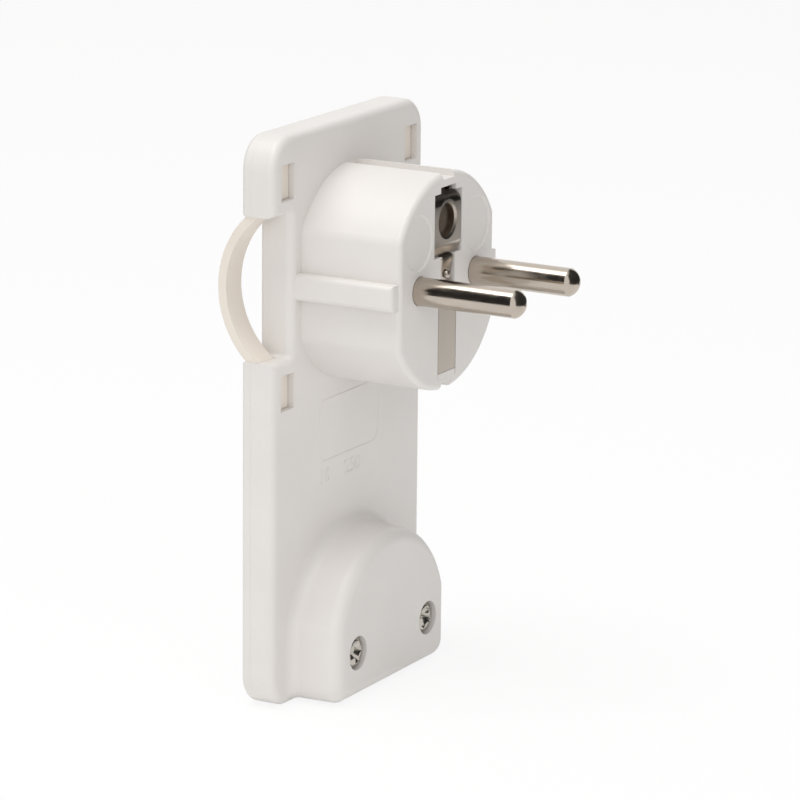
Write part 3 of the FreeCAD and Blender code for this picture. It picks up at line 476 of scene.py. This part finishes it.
def add_cards(view):
    """Dark walls at both sides of the set, seen only in reflections, as in a studio."""
    right = view @ Vector((1, 0, 0))
    right = Vector((right.x, right.y, 0)).normalized()
    along = Vector((-right.y, right.x, 0))
    material = bpy.data.materials.new("dark_card")
    material.use_nodes = True
    shader = material.node_tree.nodes["Principled BSDF"]
    shader.inputs["Base Color"].default_value = CARD_COLOUR
    shader.inputs["Roughness"].default_value = 1.0
    for name, side, size in (("card_left", -1, LEFT_CARD), ("card_right", 1, RIGHT_CARD)):
        centre = right * side * size["distance"]
        near = centre - along * size["half_length"]
        far = centre + along * size["half_length"]
        corners = [(near.x, near.y, size["bottom"]), (far.x, far.y, size["bottom"]),
                   (far.x, far.y, size["top"]), (near.x, near.y, size["top"])]
        card = add_plane(name, corners, material)
        card.visible_camera = False
        card.visible_diffuse = False
        card.visible_shadow = False


# Pieces that the solids leave out

def finished(piece, material):
    """Gives a piece its finish and body."""
    piece.data.materials.clear()
    piece.data.materials.append(material)
    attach(piece, "root")
    return piece


def from_bmesh(name, mesh):
    """Object of a bmesh, with smooth faces between its sharp edges."""
    bmesh.ops.remove_doubles(mesh, verts=mesh.verts, dist=SAME_POINT)
    bmesh.ops.recalc_face_normals(mesh, faces=mesh.faces)
    for face in mesh.faces:
        face.smooth = True
    for edge in mesh.edges:
        edge.smooth = edge.calc_face_angle(math.pi) < SMOOTH_BELOW
    data = bpy.data.meshes.new(name)
    mesh.to_mesh(data)
    mesh.free()
    return add_object(name, data)


def bridge_rings(mesh, rings):
    """Faces between each closed ring of corners and the next."""
    for first, second in zip(rings, rings[1:]):
        count = len(first)
        for i in range(count):
            mesh.faces.new((first[i], first[(i + 1) % count], second[(i + 1) % count], second[i]))


def turned(profile, x, z, segments):
    """bmesh of a profile of (radius, y) points turned about an axis along Y."""
    mesh = bmesh.new()
    rings = []
    for radius, y in profile:
        if radius == 0:
            rings.append([mesh.verts.new((x, y, z))])
            continue
        rings.append([mesh.verts.new((x + radius * math.cos(math.tau * i / segments), y,
                                      z + radius * math.sin(math.tau * i / segments)))
                      for i in range(segments)])
    for first, second in zip(rings, rings[1:]):
        for i in range(segments):
            corners = (first[i % len(first)], first[(i + 1) % len(first)],
                       second[(i + 1) % len(second)], second[i % len(second)])
            mesh.faces.new(list(dict.fromkeys(corners)))
    return mesh


def dome(radius, height, y_base):
    """Points (radius, y) of an elliptic dome from its tip to its rim."""
    parts = [math.pi / 2 * i / DOME_STEPS for i in range(DOME_STEPS + 1)]
    return [(radius * math.sin(part), y_base - height * math.cos(part)) for part in parts]


def tapered_block(x, z, y_front, size, turn):
    """Cutter with two rectangular ends, turned about an axis along Y and proud of the front."""
    slope = [(f - b) / size["depth"] for f, b in zip(size["front"], size["back"])]
    grown = [f + s * CUTTER_PROUD for f, s in zip(size["front"], slope)]
    ends = ((y_front - CUTTER_PROUD, grown), (y_front + size["depth"], size["back"]))
    mesh = bmesh.new()
    rings = []
    for y, (half_x, half_z) in ends:
        ring = []
        for u, v in ((-half_x, -half_z), (half_x, -half_z), (half_x, half_z), (-half_x, half_z)):
            ring.append(mesh.verts.new((x + u * math.cos(turn) - v * math.sin(turn), y,
                                        z + u * math.sin(turn) + v * math.cos(turn))))
        rings.append(ring)
    mesh.faces.new(rings[0])
    mesh.faces.new(rings[1][::-1])
    bridge_rings(mesh, rings)
    return from_bmesh("cut", mesh)


def carve(piece, cutters):
    """Cuts the cutters out of the piece, deletes them, and cleans the tiny edges that this leaves."""
    for cutter in cutters:
        step = piece.modifiers.new("cut", "BOOLEAN")
        step.operation = "DIFFERENCE"
        step.solver = "EXACT"
        step.object = cutter
    depsgraph = bpy.context.evaluated_depsgraph_get()
    carved = bpy.data.meshes.new_from_object(piece.evaluated_get(depsgraph))
    piece.modifiers.clear()
    piece.data = carved
    mesh = bmesh.new()
    mesh.from_mesh(carved)
    bmesh.ops.remove_doubles(mesh, verts=mesh.verts, dist=TINY_EDGE)
    bmesh.ops.dissolve_degenerate(mesh, edges=mesh.edges, dist=TINY_EDGE)
    mesh.to_mesh(carved)
    mesh.free()
    for cutter in cutters:
        bpy.data.objects.remove(cutter)


def housing_screw(node, material):
    """Pan-head screw with a tapered cross recess."""
    low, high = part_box(node)
    x = (low.x + high.x) / 2
    z = (low.z + high.z) / 2
    radius = (high.x - low.x) / 2
    front = low.y - SCREW_FORWARD
    seat = low.y + SCREW_HEAD_DEPTH
    rim = radius - SCREW_EDGE
    profile = dome(rim, SCREW_DOME, front + SCREW_DOME)
    for i in range(1, EDGE_STEPS + 1):
        part = math.pi / 2 * i / EDGE_STEPS
        profile.append((rim + SCREW_EDGE * math.sin(part),
                        front + SCREW_DOME + SCREW_EDGE * (1 - math.cos(part))))
    profile += [(radius, seat), (SHANK_RADIUS, seat), (SHANK_RADIUS, high.y), (0, high.y)]
    piece = from_bmesh(node + "_detail", turned(profile, x, z, SCREW_SEGMENTS))
    turn = math.radians(TURN_OF_CROSS[node])
    carve(piece, [tapered_block(x, z, front, size, turn + extra) for size, extra in (
        (CROSS_ARM, 0), (CROSS_ARM, math.pi / 2), (CROSS_CORE, math.pi / 4))])
    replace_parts(finished(piece, material), node)


def earth_rivet(material):
    """Small domed rivet, with a dimple, on the pad of the earth strip."""
    low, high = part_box("earth_rivet")
    z = (low.z + high.z) / 2
    tip = PAD_FRONT - RIVET_HEIGHT
    flange = high.y - RIVET_FLANGE
    profile = [(0, tip + DIMPLE_DEPTHS[0]), (DIMPLE_RADIUS, tip + DIMPLE_DEPTHS[1])]
    profile += [point for point in dome(RIVET_RADIUS, RIVET_HEIGHT, PAD_FRONT) if point[0] > DOME_START]
    profile += [(RIVET_SHANK, PAD_FRONT), (RIVET_SHANK, flange),
                (RIVET_RADIUS, flange), (RIVET_RADIUS, high.y), (0, high.y)]
    piece = from_bmesh("earth_rivet_detail", turned(profile, 0, z, RIVET_SEGMENTS))
    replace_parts(finished(piece, material), "earth_rivet")


def rounded_loop(left, right, bottom, top, corner):
    """Corner points (x, z) of a rounded rectangle, anticlockwise."""
    points = []
    for x, z, start in ((right - corner, top - corner, 0), (left + corner, top - corner, 1),
                        (left + corner, bottom + corner, 2), (right - corner, bottom + corner, 3)):
        for i in range(CORNER_STEPS + 1):
            angle = math.pi / 2 * (start + i / CORNER_STEPS)
            points.append((x + corner * math.cos(angle), z + corner * math.sin(angle)))
    return points


def stacked(name, sides, corner, layers, material, lean=0.0):
    """Piece with a rounded outline whose (inset, y) layers run from its back to its front."""
    left, right, bottom, top = sides
    middle = (bottom + top) / 2
    mesh = bmesh.new()
    rings = []
    for inset, y in layers:
        loop = rounded_loop(left + inset, right - inset, bottom + inset, top - inset, corner)
        rings.append([mesh.verts.new((x, y - lean * (z - middle), z)) for x, z in loop])
    bridge_rings(mesh, rings)
    mesh.faces.new(rings[0][::-1])
    mesh.faces.new(rings[-1])
    return finished(from_bmesh(name, mesh), material)


def face_details(sheet, plastic):
    """Pad of the rivet, straight front of the strip, and the end of the lower slot."""
    pad_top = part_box("earth_pin_socket")[0].z - PAD_GAP
    stacked("strip_pad", (-PAD_HALF_WIDTH, PAD_HALF_WIDTH, BRIDGE_TOP + PAD_GAP, pad_top),
            PAD_CORNER, PAD_LAYERS, sheet, PAD_LEAN)
    low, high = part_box("earth_strip")
    stacked("strip_front", (low.x, high.x, STRIP_END, STRIP_TOP),
            STRIP_CORNER, STRIP_LAYERS, sheet)
    stacked("slot_end", (low.x, high.x, SLOT_BOTTOM, SLOT_END),
            FILL_CORNER, FILL_LAYERS, plastic)


def raised_frame(material):
    """Rounded ridge round the empty field below the head."""
    section = ((0, RIDGE_SUNK), (RIDGE_BEVEL, -RIDGE_HEIGHT),
               (RIDGE_WIDTH - RIDGE_BEVEL, -RIDGE_HEIGHT), (RIDGE_WIDTH, RIDGE_SUNK))
    mesh = bmesh.new()
    rings = []
    for inset, y in section + section[:1]:
        loop = rounded_loop(FRAME_LEFT + inset, FRAME_RIGHT - inset, FRAME_BOTTOM + inset,
                            FRAME_TOP - inset, FRAME_CORNER)
        rings.append([mesh.verts.new((x, BODY_FRONT + y, z)) for x, z in loop])
    bridge_rings(mesh, rings)
    finished(from_bmesh("raised_frame", mesh), material)


def raised_number(digits, left, material):
    """Plain digits that stand proud of the flat front, read from the face's side."""
    curve = bpy.data.curves.new("digits", "FONT")
    curve.body = digits
    curve.size = NUMBER_HEIGHT / CAPITAL_SHARE
    curve.extrude = (RIDGE_HEIGHT + RIDGE_SUNK) / 2
    curve.resolution_u = DIGIT_STEPS
    text = add_object("digits", curve)
    depsgraph = bpy.context.evaluated_depsgraph_get()
    data = bpy.data.meshes.new_from_object(text.evaluated_get(depsgraph))
    bpy.data.objects.remove(text)
    middle = BODY_FRONT + (RIDGE_SUNK - RIDGE_HEIGHT) / 2
    upright = Matrix.Rotation(math.pi / 2, 4, "X")
    data.transform(Matrix.Translation((left, middle, NUMBER_BASELINE)) @ upright)
    finished(add_object("number_" + digits, data), material)


# Assembly

housing_finish = moulded_plastic("white_housing")
sheet_finish = sheet_nickel()
screw_finish = plated_metal("zinc_steel")
dress(["front_housing", "back_cover"], housing_finish)
dress(both("pull_bow"), moulded_plastic("cream_nylon"))
dress(["contact_carrier", "cord_clamp_bar"], moulded_plastic("inner_plastic"))
dress(both("pin"), plated_metal("bright_nickel"))
dress(["earth_pin_socket", "earth_strip", "earth_terminal", "earth_rivet", "earth_washer"],
      sheet_finish)
dress(["earth_screw", *both("terminal_screw"), *both("clamp_screw"), *both("housing_screw"),
       *both("housing_nut")], screw_finish)

for node in both("housing_screw"):
    housing_screw(node, screw_finish)
earth_rivet(sheet_finish)
face_details(sheet_finish, housing_finish)
raised_frame(housing_finish)
for digits, left in NUMBERS:
    raised_number(digits, left, housing_finish)

view = add_camera()
add_floor()
add_world()
for name, softbox in SOFTBOXES.items():
    add_softbox(name, **softbox)
add_cards(view)

bpy.context.scene.view_settings.view_transform = "Standard"
